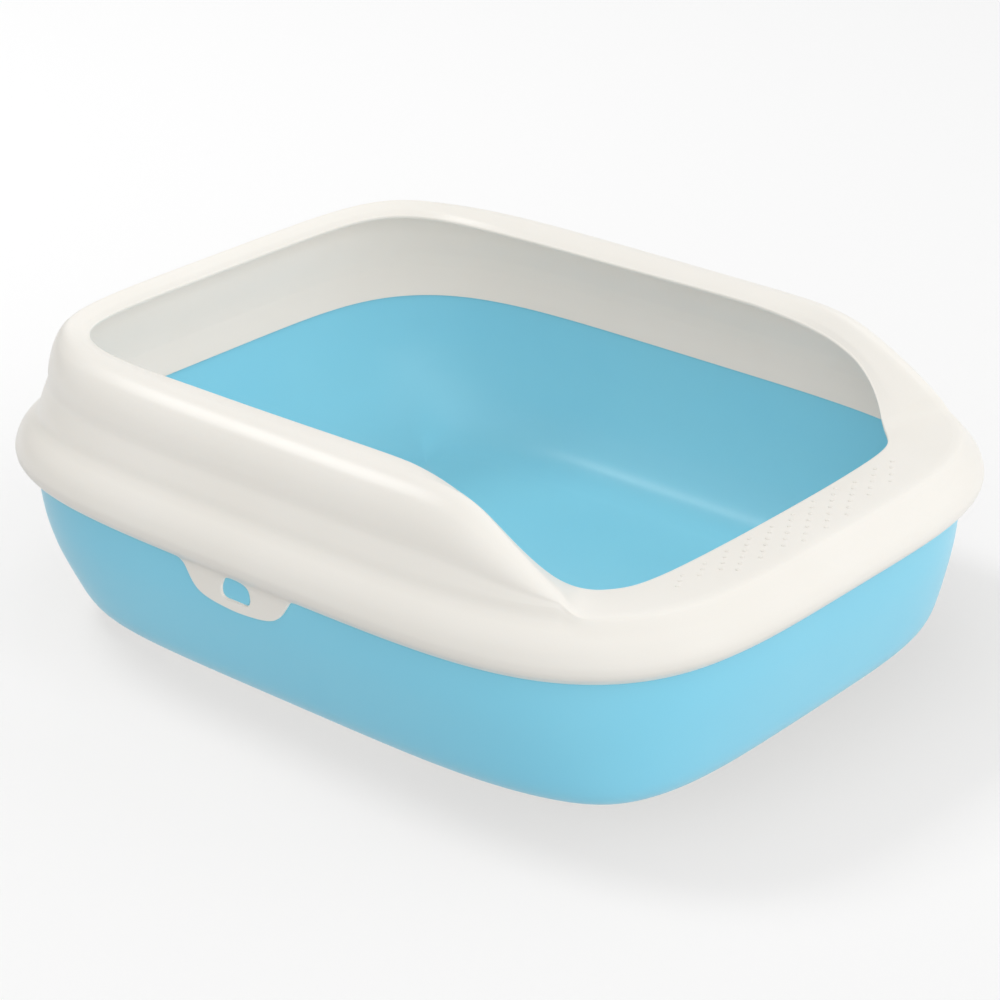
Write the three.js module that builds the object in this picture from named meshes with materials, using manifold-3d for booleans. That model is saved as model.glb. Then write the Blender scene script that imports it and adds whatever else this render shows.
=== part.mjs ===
// Cat litter tray with a clip-on raised splash guard.
// Millimetres, +Z up, the low entry side faces -Y, origin in the middle of the
// footprint on the floor. Four moulded polypropylene pieces: the pan, the guard
// that sits over its rim, and a flexing latch tab on each long side.
import * as THREE from 'three';
import Module from 'manifold-3d';

const wasm = await Module();
wasm.setup();

// ---------------------------------------------------------------- dimensions
const SEAT_Z = 86.7;          // height of the guard's lower edge above the floor
const HALF_W = 202.2;         // half width of the guard's lower edge
const HALF_L = 242.0;         // half length of the guard's lower edge
const POW_FRONT = 4.12;       // squareness of the plan outline, front half
const POW_BACK = 4.68;        // and rear half
const CORNER_IN = 1.1;        // how much further the corners are pulled in
const BULGE = 9.6;            // how far the bead stands out past the lower edge
const WALL = 2.2;             // guard wall
const GAP = 0.3;              // running gap between separate pieces
const GUARD_TOP = 79.2;       // crest of the guard above its lower edge
const CREST_SIDE = 35.0;      // crest's distance in from the lower edge, sides
const CREST_BACK = 17.5;      // and back
const ROLL_SIDE = [23.6, 30.6]; // width and height of the rounded shoulder, sides
const ROLL_BACK = [6.0, 22.0];  // and back
const PAN_RIM_Z = 26.5;       // top of the pan's rim above the guard's lower edge
const INNER_LIP_Z = 7.3;      // lower end of the lip that hangs inside the pan
const PAN_LEAN_SIDE = 0.38;   // extra lean of the pan's side walls
const PAN_LEAN_BACK = 1.36;   // extra lean of the pan's back wall
const REAR_CORNER = 10.0;     // how far the rear corners tuck in near the floor
const FRONT_CORNER = -0.22;   // front corners stand more upright
const LATCH_Y = 16.5;         // middle of each latch tab along the long side
const LATCH_HALF = 47.0;      // half length of the piece that flexes
const FLEX_Z = 3.0;           // height of the flex line
const STATIONS = 88;          // cross-sections around the tray

// ------------------------------------------------------------- plan outline
function outlineAt(t) {
  const c = Math.cos(t), s = Math.sin(t);
  const n = s < 0 ? POW_FRONT : POW_BACK;
  return [HALF_W * Math.sign(c) * Math.abs(c) ** (2 / n),
    HALF_L * Math.sign(s) * Math.abs(s) ** (2 / n)];
}
function outwardNormal([x, y]) {
  const n = y < 0 ? POW_FRONT : POW_BACK;
  const gx = Math.sign(x) * Math.abs(x / HALF_W) ** (n - 1) / HALF_W;
  const gy = Math.sign(y) * Math.abs(y / HALF_L) ** (n - 1) / HALF_L;
  const g = Math.hypot(gx, gy);
  return [gx / g, gy / g];
}
// Stations spaced by arc length plus turning, so the corners get more of them.
function makeStations(count) {
  const M = 8000, pts = [], cost = [0];
  for (let i = 0; i <= M; i++) pts.push(outlineAt(-Math.PI / 2 + 2 * Math.PI * i / M));
  for (let i = 1; i <= M; i++) {
    const a = pts[i - 1], b = pts[i], na = outwardNormal(a), nb = outwardNormal(b);
    const ds = Math.hypot(b[0] - a[0], b[1] - a[1]);
    const dn = Math.hypot(nb[0] - na[0], nb[1] - na[1]);
    const ramp = b[1] < -95 && b[1] > -215 ? 1.6 : 1.0;
    cost.push(cost[i - 1] + ds * ramp + 210 * dn);
  }
  const out = [];
  let k = 1;
  for (let j = 0; j < count; j++) {
    const want = cost[M] * j / count;
    while (cost[k] < want) k++;
    const f = (want - cost[k - 1]) / (cost[k] - cost[k - 1] || 1);
    const p = [pts[k - 1][0] + f * (pts[k][0] - pts[k - 1][0]),
      pts[k - 1][1] + f * (pts[k][1] - pts[k - 1][1])];
    const n = outwardNormal(p);
    const d = CORNER_IN * 4 * n[0] * n[0] * n[1] * n[1];
    out.push({ p: [p[0] - n[0] * d, p[1] - n[1] * d], n });
  }
  return out;
}

// Right half of the inner edge of the guard, from the front middle round to the
// back middle: x, y and height above the guard's lower edge.
const LIP_HALF = [
  [0, -195.6, 31.8], [28.5, -195.5, 31.8], [52.9, -194.9, 31.7], [75.3, -193.8, 31.5],
  [95.6, -192.2, 31.3], [110.6, -189.6, 31.0], [120.4, -185.8, 30.6], [127.8, -180.4, 30.3],
  [134.4, -174.3, 30.6], [141.2, -167.6, 33.0], [147.9, -160.6, 38.2],
  [153.0, -152.4, 45.6], [156.0, -143.9, 52.4], [157.1, -135.1, 58.4],
  [156.3, -120.8, 65.3], [154.6, -105.5, 70.0], [152.8, -90.2, 73.1],
  [151.5, -75.0, 75.0], [150.9, -59.8, 75.9], [150.9, -24.3, 75.8],
  [151.0, 16.2, 75.3], [151.0, 56.5, 74.9], [150.7, 96.7, 74.6],
  [150.2, 124.8, 74.2], [149.2, 146.8, 73.9], [146.8, 166.7, 73.7],
  [143.0, 181.6, 73.6], [136.8, 193.7, 73.5], [127.3, 203.2, 73.4],
  [113.8, 209.4, 73.3], [93.5, 213.0, 73.2], [60.9, 214.6, 73.1],
  [28.4, 215.0, 73.0], [0, 215.0, 73.0],
];
// Crest height as a function of the outline's y, front to back.
const CREST = [[-300, 35.5], [-222, 35.5], [-212, 35.6], [-203, 36.6], [-192, 40.7],
  [-180, 47.6], [-165, 56.2], [-152, 63.0], [-140, 69.0], [-129, 73.8], [-118, 76.8],
  [-105, 78.4], [-90, 79.1], [-75, 79.2], [300, 79.2]];

function catmull(p0, p1, p2, p3, t) {
  return p1.map((_, i) => 0.5 * (2 * p1[i] + (p2[i] - p0[i]) * t
    + (2 * p0[i] - 5 * p1[i] + 4 * p2[i] - p3[i]) * t * t
    + (3 * p1[i] - p0[i] - 3 * p2[i] + p3[i]) * t * t * t));
}
const lipLoop = (() => {
  const half = LIP_HALF, loop = half.slice();
  for (let i = half.length - 2; i > 0; i--) loop.push([-half[i][0], half[i][1], half[i][2]]);
  const n = loop.length, dense = [];
  for (let i = 0; i < n; i++) {
    for (let k = 0; k < 12; k++) {
      dense.push(catmull(loop[(i + n - 1) % n], loop[i], loop[(i + 1) % n], loop[(i + 2) % n], k / 12));
    }
  }
  return dense;
})();
// Where the inward normal at a station meets the inner edge: inset and height.
function lipAt({ p, n }) {
  let best = null;
  for (let i = 0; i < lipLoop.length; i++) {
    const a = lipLoop[i], b = lipLoop[(i + 1) % lipLoop.length];
    const dx = b[0] - a[0], dy = b[1] - a[1];
    const det = n[0] * dy - n[1] * dx;
    if (Math.abs(det) < 1e-9) continue;
    const rx = p[0] - a[0], ry = p[1] - a[1];
    const s = (rx * dy - ry * dx) / det;
    const u = (n[0] * ry - n[1] * rx) / det;
    if (s > 0 && u >= -1e-9 && u <= 1 + 1e-9 && (!best || s < best.s)) {
      best = { s, z: a[2] + u * (b[2] - a[2]) };
    }
  }
  return best;
}
function crestAt(y) {
  let i = 1;
  while (CREST[i][0] < y) i++;
  const k = Math.min(Math.max(i, 2), CREST.length - 2);
  const t = (y - CREST[k - 1][0]) / (CREST[k][0] - CREST[k - 1][0]);
  if (t < 0 || t > 1) {
    const a = CREST[i - 1], b = CREST[i];
    return a[1] + (b[1] - a[1]) * (y - a[0]) / (b[0] - a[0]);
  }
  // monotone cubic through the neighbouring points
  const [xa, ya] = CREST[k - 2], [xb, yb] = CREST[k - 1], [xc, yc] = CREST[k], [xd, yd] = CREST[k + 1];
  const s0 = (yb - ya) / (xb - xa), s1 = (yc - yb) / (xc - xb), s2 = (yd - yc) / (xd - xc);
  const m1 = s0 * s1 <= 0 ? 0 : 2 * s0 * s1 / (s0 + s1);
  const m2 = s1 * s2 <= 0 ? 0 : 2 * s1 * s2 / (s1 + s2);
  const h = xc - xb, t2 = t * t, t3 = t2 * t;
  return (2 * t3 - 3 * t2 + 1) * yb + (t3 - 2 * t2 + t) * h * m1
    + (-2 * t3 + 3 * t2) * yc + (t3 - t2) * h * m2;
}

// --------------------------------------------------- guard's cross-section
const mix = (a, b, w) => a.map((v, i) => v + (b[i] - v) * w);
const smooth = (x) => { const t = Math.min(Math.max(x, 0), 1); return t * t * (3 - 2 * t); };

// Closed loop of [inset, height], from the skirt's lower outer edge up over the
// bead, neck, wall and crest, round the inner edge and back down inside.
function guardSection(station) {
  const side = station.n[0] * station.n[0];
  const top = crestAt(station.p[1]);
  const { s: lipS, z: lipZ } = lipAt(station);
  const w = smooth((top - 36.0) / 7.5);
  const q = Math.min(1, (top - 34.0) / 9.0);
  const zq = (z) => 27.7 + (z - 27.7) * q;
  const rise = Math.min(Math.max((top - 40.5) / (GUARD_TOP - 40.5), 0), 1);
  let crestS = CREST_BACK + (CREST_SIDE - CREST_BACK) * side;
  crestS = 5.6 + (crestS - 5.6) * (0.35 + 0.65 * rise);
  const rx = Math.min(ROLL_BACK[0] + (ROLL_SIDE[0] - ROLL_BACK[0]) * side, (crestS - 5.6) * 0.8);
  const rz = Math.min(ROLL_BACK[1] + (ROLL_SIDE[1] - ROLL_BACK[1]) * side,
    Math.max(top - 40.5, 0.5) * 0.72);
  const arc = (deg, off = 0) => {
    const a = deg * Math.PI / 180;
    return [crestS - (rx - off) * Math.cos(a), top - off - (rz - off) * (1 - Math.sin(a))];
  };
  const neck = mix([3.2, 34.1], [6.0, zq(39.0)], w);
  const shoulder = mix([4.2, 34.7], arc(0), w);
  const a4 = mix([10.5, 35.5], arc(90), w);
  const lip = [lipS, lipZ];
  const b1 = mix(a4, lip, 0.40), b2 = mix(a4, lip, 0.76);
  b1[1] += 0.35; b2[1] += 0.3;
  const bead = ([s, z]) => [s < 0 ? s * BULGE / 11 : s, z];
  const outer = [
    [0, 0], [-4.0, 2.6], [-8.0, 6.2], [-10.4, 9.8], [-11.0, 12.6], [-10.5, 16.0],
    [-8.9, 20.0], [-6.0, 24.2], [-2.3, 27.7],
    mix([0.4, 30.8], [1.7, zq(31.0)], w), mix([2.1, 32.9], [4.7, zq(34.6)], w), neck,
    mix(neck, shoulder, 0.5), shoulder, mix([4.9, 35.05], arc(22), w),
    mix([5.9, 35.3], arc(45), w), mix([7.4, 35.45], arc(68), w), a4, b1, b2,
    [lipS - 0.5, lipZ], [lipS, lipZ - 0.6],
  ].map(bead);
  const down = (p, d) => [p[0], p[1] - d];
  const crease = mix([9.6, 31.4], [8.7, Math.min(36.0, top - 6.5)], w);
  const inner = [
    [lipS, lipZ - 1.6], [lipS - 0.6, lipZ - WALL],
    down(b2, WALL + 0.1), down(b1, WALL + 0.1),
    mix([12.0, 33.1], [crestS + 0.6, top - WALL - 0.1], w),
    mix([11.0, 32.9], arc(55, WALL), w), mix([10.4, 32.5], arc(25, WALL), w),
    mix([10.0, 32.0], [shoulder[0] + WALL + 0.2, shoulder[1] - 1.0], w), crease,
    [7.2, 28.6], [7.2, INNER_LIP_Z + 0.5], [6.8, INNER_LIP_Z],
    [5.5, INNER_LIP_Z], [5.1, INNER_LIP_Z + 0.5], [5.1, PAN_RIM_Z + GAP],
    [2.2, PAN_RIM_Z + GAP], [-1.0, 25.4], [-4.4, 22.0], [-6.9, 18.4], [-8.3, 15.2],
    [-8.8, 12.6], [-8.2, 10.8], [-5.8, 8.0], [-1.9, 4.5], [2.3, 1.0], [2.3, 0],
  ].map(bead);
  return outer.concat(inner);
}

// ----------------------------------------------------- pan's cross-section
const PAN_OUT = [[40.0, -86.7], [32.0, -86.3], [26.5, -84.8], [21.4, -82.0], [17.4, -77.6],
  [14.0, -70.9], [11.6, -62.7], [9.4, -53.4], [7.5, -44.2], [5.9, -36.0], [4.5, -27.3],
  [3.5, -17.4], [2.9, -7.6], [2.7, 0], [2.7, 26.1], [3.1, PAN_RIM_Z]];
const PAN_IN = [[4.4, PAN_RIM_Z], [4.8, 26.1], [4.8, 0], [5.0, -7.6], [5.7, -17.4],
  [6.7, -27.3], [8.2, -36.0], [10.0, -44.7], [12.2, -54.0], [15.2, -63.3], [19.8, -72.0],
  [26.3, -78.7], [34.0, -82.5], [43.0, -84.0]];
// Walls lean in more at the sides and most at the back, and the front corners
// stand a little more upright than the rear ones.
function panSection({ n }) {
  const side = n[0] * n[0], end = n[1] * n[1], corner = 4 * side * end;
  const k = PAN_LEAN_SIDE * side + (n[1] > 0 ? PAN_LEAN_BACK * end : FRONT_CORNER * corner);
  const tuck = n[1] > 0 ? REAR_CORNER * corner : 0;
  const lean = (base) => ([s, z]) => {
    const d = Math.max(s - base, 0);
    return [s + k * 26 * (1 - Math.exp(-d / 26)) + tuck * smooth((-z - 40) / 45), z];
  };
  return PAN_OUT.map(lean(2.7)).concat(PAN_IN.map(lean(4.8)));
}

// ------------------------------------------------------------- mesh makers
// Sweep of closed sections round the stations.
function sweepLoop(stations, section) {
  const m = stations.map(section), rows = m.length, cols = m[0].length;
  const pos = [], idx = [];
  m.forEach((sec, i) => {
    const { p, n } = stations[i];
    for (const [s, z] of sec) pos.push(p[0] - n[0] * s, p[1] - n[1] * s, z + SEAT_Z);
  });
  for (let i = 0; i < rows; i++) {
    const j = (i + 1) % rows;
    for (let k = 0; k < cols; k++) {
      const l = (k + 1) % cols;
      const a = i * cols + k, b = j * cols + k, c = j * cols + l, d = i * cols + l;
      idx.push(a, b, c, a, c, d);
    }
  }
  return { pos, idx };
}
// Open section closed by a flat cap at each end: the pan.
function sweepPan(stations) {
  const cols = PAN_OUT.length + PAN_IN.length, rows = stations.length;
  const pos = [], idx = [];
  stations.forEach((st) => {
    for (const [s, z] of panSection(st)) pos.push(st.p[0] - st.n[0] * s, st.p[1] - st.n[1] * s, z + SEAT_Z);
  });
  for (let i = 0; i < rows; i++) {
    const j = (i + 1) % rows;
    for (let k = 0; k < cols - 1; k++) {
      const a = i * cols + k, b = j * cols + k, c = j * cols + k + 1, d = i * cols + k + 1;
      idx.push(a, b, c, a, c, d);
    }
  }
  const under = pos.length / 3;
  pos.push(0, 0, SEAT_Z + PAN_OUT[0][1]);
  pos.push(0, 0, SEAT_Z + PAN_IN[PAN_IN.length - 1][1]);
  for (let i = 0; i < rows; i++) {
    const j = (i + 1) % rows;
    idx.push(under, j * cols, i * cols);
    idx.push(under + 1, i * cols + cols - 1, j * cols + cols - 1);
  }
  return { pos, idx };
}
const solid = ({ pos, idx }) => new wasm.Manifold(new wasm.Mesh({
  numProp: 3, vertProperties: new Float32Array(pos), triVerts: new Uint32Array(idx),
}));
// three.js geometry -> solid, with coincident corners joined first.
function solidFrom(geo) {
  const src = geo.index ? geo.toNonIndexed() : geo;
  const at = src.attributes.position, key = new Map(), pos = [], idx = [];
  for (let i = 0; i < at.count; i++) {
    const v = [at.getX(i), at.getY(i), at.getZ(i)];
    const k = v.map((c) => Math.round(c * 1e4)).join();
    if (!key.has(k)) { key.set(k, pos.length / 3); pos.push(...v); }
    idx.push(key.get(k));
  }
  return solid({ pos, idx });
}
// A shape drawn in (y, z) and pushed along x from x0 to x1.
function slab(shape, x0, x1, y0, curve) {
  const geo = new THREE.ExtrudeGeometry(shape, {
    depth: x1 - x0, bevelEnabled: false, curveSegments: curve || 6,
  });
  // extrude axis z -> x, shape x -> y, shape y -> z
  geo.applyMatrix4(new THREE.Matrix4().set(0, 0, 1, x0, 1, 0, 0, y0, 0, 1, 0, SEAT_Z, 0, 0, 0, 1));
  return solidFrom(geo);
}
function boxSolid(x0, x1, y0, y1, z0, z1) {
  const geo = new THREE.BoxGeometry(x1 - x0, y1 - y0, z1 - z0);
  geo.translate((x0 + x1) / 2, (y0 + y1) / 2, (z0 + z1) / 2);
  return solidFrom(geo);
}
function geometryOf(man) {
  const m = man.getMesh(), n = m.numProp, pos = new Float32Array(m.vertProperties.length / n * 3);
  for (let i = 0; i < pos.length / 3; i++) {
    for (let k = 0; k < 3; k++) pos[3 * i + k] = m.vertProperties[n * i + k];
  }
  const geo = new THREE.BufferGeometry();
  geo.setAttribute('position', new THREE.BufferAttribute(pos, 3));
  geo.setIndex(new THREE.BufferAttribute(new Uint32Array(m.triVerts), 1));
  geo.computeVertexNormals();
  return geo;
}

// ------------------------------------------------------------- the latches
// Outline of the hanging tab, half of it: distance from its middle, height.
const TAB_HALF = [[45.0, 0.0], [41.8, -0.4], [39.8, -1.8], [38.0, -4.3], [36.0, -7.4],
  [33.8, -10.6], [31.4, -13.3], [28.8, -15.3], [25.5, -16.8], [20.0, -18.2], [10.0, -19.4],
  [0, -19.9]];
function tabShape() {
  const s = new THREE.Shape();
  s.moveTo(-45.0, 1.6);
  for (const [y, z] of TAB_HALF) s.lineTo(-y, z);
  for (let i = TAB_HALF.length - 2; i >= 0; i--) s.lineTo(TAB_HALF[i][0], TAB_HALF[i][1]);
  s.lineTo(45.0, 1.6);
  s.closePath();
  return s;
}
// D-shaped outline with its flat side down, shrunk by g all round.
const D_HALF = [[0, -14.0], [7.2, -14.0], [9.4, -13.0], [10.7, -10.8], [10.8, -8.3],
  [10.3, -5.5], [8.9, -2.9], [6.4, -0.9], [3.4, 0.1], [0, 0.4]];
function dShape(g) {
  const cz = -6.8, kx = (10.8 - g) / 10.8, kz = (7.2 - g) / 7.2;
  const pts = D_HALF.map(([y, z]) => [y * kx, cz + (z - cz) * kz]);
  const s = new THREE.Shape();
  s.moveTo(pts[0][0], pts[0][1]);
  for (const [y, z] of pts.slice(1)) s.lineTo(y, z);
  for (let i = pts.length - 2; i > 0; i--) s.lineTo(-pts[i][0], pts[i][1]);
  s.closePath();
  return s;
}

// ---------------------------------------------------------------- assembly
const stations = makeStations(STATIONS);
let guard = solid(sweepLoop(stations, guardSection));
let pan = solid(sweepPan(stations));
const latch = {};
for (const [side, sx] of [['left', -1], ['right', 1]]) {
  const span = (a, b) => (sx < 0 ? [-b, -a] : [a, b]);
  // hanging tab in line with the skirt's lower edge
  const [p0, p1] = span(HALF_W - 2.3, HALF_W);
  let plate = slab(tabShape(), p0, p1, LATCH_Y);
  const [w0, w1] = span(HALF_W - 12, HALF_W + 14);
  const skirt = guard.add(plate);
  const window = slab(dShape(0), w0, w1, LATCH_Y);
  const [c0, c1] = span(HALF_W - 2.45, HALF_W + 20);
  const piece = boxSolid(c0, c1, LATCH_Y - LATCH_HALF + GAP, LATCH_Y + LATCH_HALF - GAP,
    SEAT_Z - 40, SEAT_Z + FLEX_Z - GAP);
  const notch = boxSolid(c0, c1, LATCH_Y - LATCH_HALF, LATCH_Y + LATCH_HALF,
    SEAT_Z - 40, SEAT_Z + FLEX_Z);
  latch[side] = skirt.intersect(piece).subtract(window);
  guard = guard.subtract(notch);
  // catch on the pan that stands in the tab's window
  const [b0, b1] = span(HALF_W - 4.0, HALF_W - 0.6);
  pan = pan.add(slab(dShape(0.6), b0, b1, LATCH_Y));
}

const white = () => new THREE.MeshStandardMaterial({ color: 0xf1ede6, roughness: 0.38, metalness: 0 });
const blue = () => new THREE.MeshStandardMaterial({ color: 0x7cc9e6, roughness: 0.36, metalness: 0 });
const group = new THREE.Group();
group.name = 'litter_tray';
function put(name, man, mat) {
  const mesh = new THREE.Mesh(geometryOf(man), mat);
  mesh.name = name;
  group.add(mesh);
}
put('pan', pan, blue());
put('guard', guard, white());
put('left_latch', latch.left, white());
put('right_latch', latch.right, white());

export default group;
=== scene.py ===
import math

import bpy
import numpy as np
from mathutils import Matrix, Vector
from mathutils import geometry as mg
from mathutils.bvhtree import BVHTree

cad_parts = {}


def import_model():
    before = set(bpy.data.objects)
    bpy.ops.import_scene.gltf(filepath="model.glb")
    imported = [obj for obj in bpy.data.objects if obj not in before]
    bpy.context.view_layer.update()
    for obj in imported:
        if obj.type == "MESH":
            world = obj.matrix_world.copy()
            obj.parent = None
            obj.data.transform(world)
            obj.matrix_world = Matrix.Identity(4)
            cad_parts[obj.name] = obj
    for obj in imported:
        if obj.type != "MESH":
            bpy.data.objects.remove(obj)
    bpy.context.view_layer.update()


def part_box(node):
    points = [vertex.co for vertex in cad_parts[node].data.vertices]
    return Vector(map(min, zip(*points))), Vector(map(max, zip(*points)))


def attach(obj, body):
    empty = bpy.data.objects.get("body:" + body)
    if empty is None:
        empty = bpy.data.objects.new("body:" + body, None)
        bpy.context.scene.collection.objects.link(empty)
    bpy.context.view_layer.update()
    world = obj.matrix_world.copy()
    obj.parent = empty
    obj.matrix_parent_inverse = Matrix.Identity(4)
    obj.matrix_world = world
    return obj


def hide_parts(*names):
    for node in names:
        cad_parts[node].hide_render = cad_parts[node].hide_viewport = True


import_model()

MM = 0.001
W2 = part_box("guard")[1]                      # outermost point of the bead
BULGE = 9.6
HALF_W = W2.x / MM - BULGE
HALF_L = W2.y / MM - BULGE
SEAT_Z = W2.z / MM - 79.2                    # guard's lower edge above the floor
GUARD_TOP = 79.2
POW_FRONT, POW_BACK, CORNER_IN = 4.12, 4.68, 1.1
CREST_SIDE, CREST_BACK = 35.0, 17.5
ROLL_SIDE, ROLL_BACK = (23.6, 30.6), (6.0, 22.0)
WALL, GAP = 2.2, 0.3
PAN_RIM_Z, INNER_LIP_Z = 26.5, 7.3
PAN_LEAN_SIDE, PAN_LEAN_BACK, REAR_CORNER, FRONT_CORNER = 0.38, 1.36, 10.0, -0.22
LATCH_Y, LATCH_HALF, FLEX_Z = 16.5, 47.0, 3.0

LIP_HALF = np.array([
    [0, -195.6, 31.8], [28.5, -195.5, 31.8], [52.9, -194.9, 31.7], [75.3, -193.8, 31.5],
    [95.6, -192.2, 31.3], [110.6, -189.6, 31.0], [120.4, -185.8, 30.6], [127.8, -180.4, 30.3],
    [134.4, -174.3, 30.6], [141.2, -167.6, 33.0], [147.9, -160.6, 38.2],
    [153.0, -152.4, 45.6], [156.0, -143.9, 52.4], [157.1, -135.1, 58.4],
    [156.3, -120.8, 65.3], [154.6, -105.5, 70.0], [152.8, -90.2, 73.1],
    [151.5, -75.0, 75.0], [150.9, -59.8, 75.9], [150.9, -24.3, 75.8],
    [151.0, 16.2, 75.3], [151.0, 56.5, 74.9], [150.7, 96.7, 74.6],
    [150.2, 124.8, 74.2], [149.2, 146.8, 73.9], [146.8, 166.7, 73.7],
    [143.0, 181.6, 73.6], [136.8, 193.7, 73.5], [127.3, 203.2, 73.4],
    [113.8, 209.4, 73.3], [93.5, 213.0, 73.2], [60.9, 214.6, 73.1],
    [28.4, 215.0, 73.0], [0, 215.0, 73.0]])
CREST = np.array([
    [-300, 35.5], [-222, 35.5], [-212, 35.6], [-203, 36.6], [-192, 40.7],
    [-180, 47.6], [-165, 56.2], [-152, 63.0], [-140, 69.0], [-129, 73.8], [-118, 76.8],
    [-105, 78.4], [-90, 79.1], [-75, 79.2], [300, 79.2]])


# ------------------------------------------------------------------ plan outline
def normal2(p):
    n = np.where(p[:, 1] < 0, POW_FRONT, POW_BACK)
    g = np.stack([np.sign(p[:, 0]) * np.abs(p[:, 0] / HALF_W) ** (n - 1) / HALF_W,
                  np.sign(p[:, 1]) * np.abs(p[:, 1] / HALF_L) ** (n - 1) / HALF_L], -1)
    return g / np.linalg.norm(g, axis=1)[:, None]


def outline(t):
    c, s = np.cos(t), np.sin(t)
    n = np.where(s < 0, POW_FRONT, POW_BACK)
    return np.stack([HALF_W * np.sign(c) * np.abs(c) ** (2 / n),
                     HALF_L * np.sign(s) * np.abs(s) ** (2 / n)], -1)


def stations(count, exact=()):
    """Points and normals round the outline, closer together where it turns. exact: heights y that both long sides hit exactly."""
    M = 40000
    t = -math.pi / 2 + 2 * math.pi * np.arange(M + 1) / M
    pts = outline(t)
    nn = normal2(pts)
    ds = np.hypot(*np.diff(pts, axis=0).T)
    dn = np.hypot(*np.diff(nn, axis=0).T)
    yb = pts[1:, 1]
    ramp = np.where((yb < -95) & (yb > -215), 1.6, 1.0)
    cost = np.concatenate([[0], np.cumsum(ds * ramp + 150 * dn)])
    ts = np.interp(cost[-1] * np.arange(count) / count, cost, t)
    for y in exact:
        n = POW_FRONT if y < 0 else POW_BACK
        a = math.asin(math.copysign(abs(y / HALF_L) ** (n / 2), y))
        for want in (a, math.pi - a):
            ts[np.argmin(np.abs(ts - want))] = want
    ts = np.sort(ts)
    p = outline(ts)
    n = normal2(p)
    return p - n * (CORNER_IN * 4 * n[:, :1] ** 2 * n[:, 1:] ** 2), n


def lip_loop():
    loop = np.concatenate([LIP_HALF, LIP_HALF[-2:0:-1] * [-1, 1, 1]])
    p0, p1, p2, p3 = np.roll(loop, 1, 0), loop, np.roll(loop, -1, 0), np.roll(loop, -2, 0)
    out = []
    for k in range(12):
        t = k / 12
        out.append(0.5 * (2 * p1 + (p2 - p0) * t + (2 * p0 - 5 * p1 + 4 * p2 - p3) * t * t
                          + (3 * p1 - p0 - 3 * p2 + p3) * t ** 3))
    return np.stack(out, 1).reshape(-1, 3)


def lip_at(p, n):
    """Where each station's inward normal meets the guard's inner edge: inset and height."""
    A = lip_loop()
    d = np.roll(A, -1, 0) - A
    det = n[:, None, 0] * d[None, :, 1] - n[:, None, 1] * d[None, :, 0]
    det = np.where(np.abs(det) < 1e-9, 1e-9, det)
    rx = p[:, None, 0] - A[None, :, 0]
    ry = p[:, None, 1] - A[None, :, 1]
    s = (rx * d[None, :, 1] - ry * d[None, :, 0]) / det
    u = (n[:, None, 0] * ry - n[:, None, 1] * rx) / det
    s = np.where((s > 0) & (u >= -1e-6) & (u <= 1 + 1e-6), s, 1e9)
    k = s.argmin(1)
    i = np.arange(len(p))
    return s[i, k], A[k, 2] + u[i, k] * d[k, 2]


def crest_at(y):
    """Monotone cubic through CREST."""
    xs, ys = CREST[:, 0], CREST[:, 1]
    h = np.diff(xs)
    sl = np.diff(ys) / h
    m = np.zeros(len(xs))
    prod = sl[:-1] * sl[1:]
    m[1:-1] = np.where(prod > 0, 2 * sl[:-1] * sl[1:] / np.where(prod > 0, sl[:-1] + sl[1:], 1), 0)
    i = np.clip(np.searchsorted(xs, y) - 1, 0, len(xs) - 2)
    t = (y - xs[i]) / h[i]
    return ((2 * t ** 3 - 3 * t ** 2 + 1) * ys[i] + (t ** 3 - 2 * t ** 2 + t) * h[i] * m[i]
            + (-2 * t ** 3 + 3 * t ** 2) * ys[i + 1] + (t ** 3 - t ** 2) * h[i] * m[i + 1])


def soften(v, p, sigma):
    """Periodic Gaussian blur of v along the outline, sigma in mm."""
    d = np.hypot(*(np.roll(p, -1, 0) - p).T)
    s = np.concatenate([[0], np.cumsum(d)[:-1]])
    total = d.sum()
    gap = np.abs(s[:, None] - s[None, :])
    gap = np.minimum(gap, total - gap)
    wt = np.exp(-0.5 * (gap / sigma) ** 2) * ((d + np.roll(d, 1)) / 2)[None, :]
    return (wt @ v) / wt.sum(1)


def smooth01(x):
    t = np.clip(x, 0, 1)
    return t * t * (3 - 2 * t)


def spline(P, sub):
    """Chord-length cubic through the control points P[stations, k, 2]; sub: pieces per segment."""
    v = np.diff(P, axis=1)
    d = np.maximum(np.linalg.norm(v, axis=2, keepdims=True), 1e-6)
    v = v / d
    m = np.empty_like(P)
    m[:, 1:-1] = (v[:, :-1] * d[:, 1:] + v[:, 1:] * d[:, :-1]) / (d[:, :-1] + d[:, 1:])
    m[:, 0], m[:, -1] = v[:, 0], v[:, -1]
    out = []
    for i, k in enumerate(sub):
        for j in range(k):
            t = j / k
            out.append((2 * t ** 3 - 3 * t ** 2 + 1) * P[:, i] + (t ** 3 - 2 * t ** 2 + t) * d[:, i] * m[:, i]
                       + (-2 * t ** 3 + 3 * t ** 2) * P[:, i + 1] + (t ** 3 - t ** 2) * d[:, i] * m[:, i + 1])
    out.append(P[:, -1])
    return np.stack(out, 1)


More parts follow.
